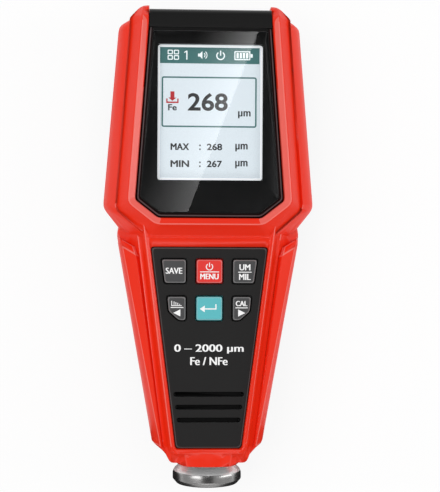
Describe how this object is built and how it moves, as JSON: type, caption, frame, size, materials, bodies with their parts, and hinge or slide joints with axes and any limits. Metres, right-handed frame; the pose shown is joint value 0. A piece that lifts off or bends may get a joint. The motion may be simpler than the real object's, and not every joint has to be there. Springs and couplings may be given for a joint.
{
  "type": "coating thickness gauge",
  "caption": "Handheld coating thickness gauge: colour display in a flared head, tapered handle with push keys, and a sprung steel probe in the nose.",
  "frame": {"origin": "middle of the part on the plane of its flat back", "axes": "+Z out of the display, +Y towards the display end, -Y towards the probe"},
  "size_m": [0.065, 0.146, 0.032],
  "materials": {
    "red_plastic": "fine moulded texture, satin",
    "black_plastic": "fine moulded texture",
    "panel_black": "satin",
    "lens": "clear, polished",
    "display": "lit colour display",
    "light_plastic": "plain",
    "flex": "flat cable",
    "key_grey": "silk matte",
    "key_red": "silk matte",
    "key_teal": "silk matte",
    "spring_steel": "bright",
    "board": "solder mask",
    "chip": "moulded",
    "screw": "zinc plated",
    "cell": "plain wrapper",
    "probe_steel": "turned and brushed",
    "core_black": "moulded",
    "tip": "polished",
    "bush": "plain bearing",
    "lead": "insulated lead"
  },
  "bodies": {
    "gauge": {"front_case": "red_plastic", "rear_case": "black_plastic", "display_bezel": "black_plastic", "display_lens": "lens", "lcd_panel": "display", "lcd_tray": "light_plastic", "lcd_flex": "flex", "keypad_panel": "panel_black", "key_domes": "spring_steel", "main_board": "board", "board_parts": "chip", "buzzer": "chip", "board_screws": "screw", "case_screws": "screw", "cell_left": "cell", "cell_right": "cell", "battery_springs": "spring_steel", "battery_plates": "spring_steel", "probe_spring": "spring_steel", "probe_bush": "bush", "sensor_lead": "lead"},
    "save_key": {"key_save": "key_grey"},
    "menu_key": {"key_menu": "key_red"},
    "unit_key": {"key_unit": "key_grey"},
    "left_key": {"key_left": "key_grey"},
    "enter_key": {"key_enter": "key_teal"},
    "right_key": {"key_right": "key_grey"},
    "probe": {"probe_sleeve": "probe_steel", "probe_core": "core_black", "probe_tip": "tip", "probe_clip": "spring_steel"},
    "door": {"battery_door": "black_plastic"}
  },
  "joints": [
    {"name": "save_press", "type": "slide", "parent": "gauge", "child": "save_key", "axis": [0, 0, -1], "range_m": [0, 0.0005], "stiffness_N_per_m": 800, "springref_m": -0.0005},
    {"name": "menu_press", "type": "slide", "parent": "gauge", "child": "menu_key", "axis": [0, 0, -1], "range_m": [0, 0.0005], "stiffness_N_per_m": 800, "springref_m": -0.0005},
    {"name": "unit_press", "type": "slide", "parent": "gauge", "child": "unit_key", "axis": [0, 0, -1], "range_m": [0, 0.0005], "stiffness_N_per_m": 800, "springref_m": -0.0005},
    {"name": "left_press", "type": "slide", "parent": "gauge", "child": "left_key", "axis": [0, 0, -1], "range_m": [0, 0.0005], "stiffness_N_per_m": 800, "springref_m": -0.0005},
    {"name": "enter_press", "type": "slide", "parent": "gauge", "child": "enter_key", "axis": [0, 0, -1], "range_m": [0, 0.0005], "stiffness_N_per_m": 800, "springref_m": -0.0005},
    {"name": "right_press", "type": "slide", "parent": "gauge", "child": "right_key", "axis": [0, 0, -1], "range_m": [0, 0.0005], "stiffness_N_per_m": 800, "springref_m": -0.0005},
    {"name": "probe_slide", "type": "slide", "parent": "gauge", "child": "probe", "axis": [0, 1, 0], "range_m": [0, 0.001], "stiffness_N_per_m": 1500, "springref_m": -0.001, "deforming": ["probe_spring", "sensor_lead"]},
    {"name": "door_swing", "type": "hinge", "parent": "gauge", "child": "door", "pos_m": [0, 0.0011, 0.0002], "axis": [1, 0, 0], "range_deg": [0, 40]}
  ]
}
